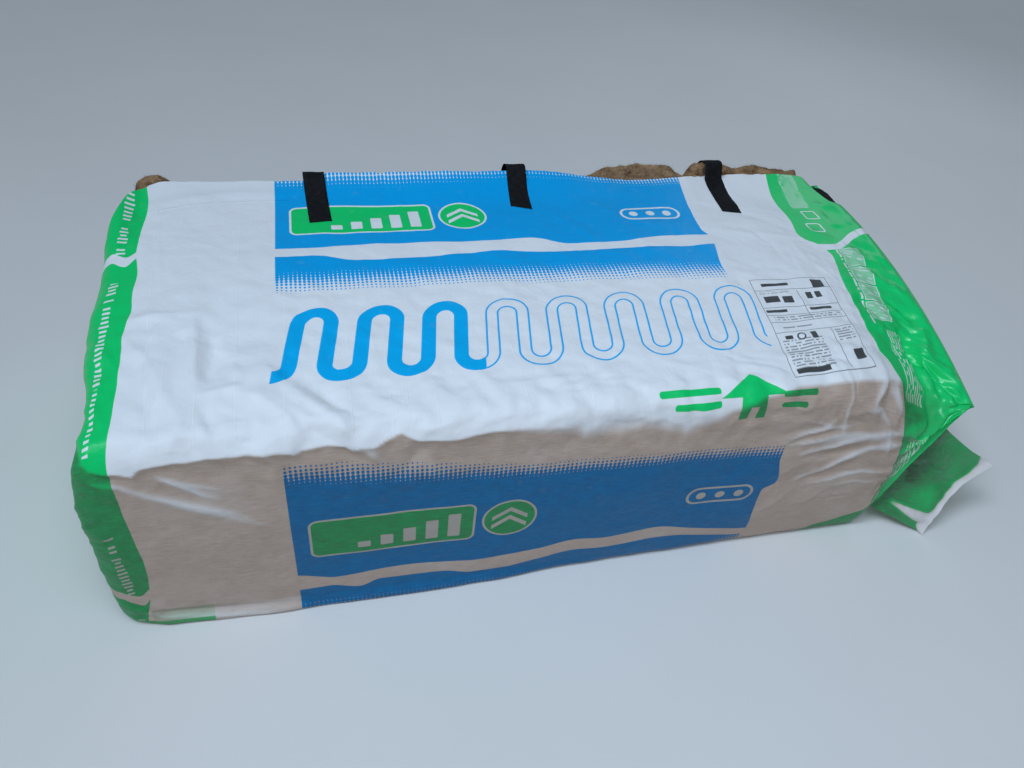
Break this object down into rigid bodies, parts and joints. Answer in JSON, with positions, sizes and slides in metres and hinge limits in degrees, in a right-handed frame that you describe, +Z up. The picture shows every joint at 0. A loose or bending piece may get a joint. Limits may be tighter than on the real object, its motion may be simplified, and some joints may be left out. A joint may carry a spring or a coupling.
{
  "type": "insulation slab pack",
  "caption": "Film-wrapped pack of mineral wool insulation slabs lying flat, cut open along its back top edge and taped across, with a loose film ear at one end.",
  "frame": {"origin": "centre of the slab stack's base, on the face the pack rests on", "axes": "+X along the slabs towards the welded end with the loose ear, +Y towards the back of the pack, where the cut is, +Z up"},
  "size_m": [1.51, 0.664, 0.4316],
  "materials": {
    "mineral_wool": "matte",
    "printed_film": "satin",
    "cloth_tape": "matte"
  },
  "bodies": {
    "root": {"wool_slabs": "mineral_wool", "film_wrap": "printed_film", "tape_strip_1": "cloth_tape", "tape_strip_2": "cloth_tape", "tape_strip_3": "cloth_tape", "tape_strip_4": "cloth_tape"}
  },
  "joints": []
}
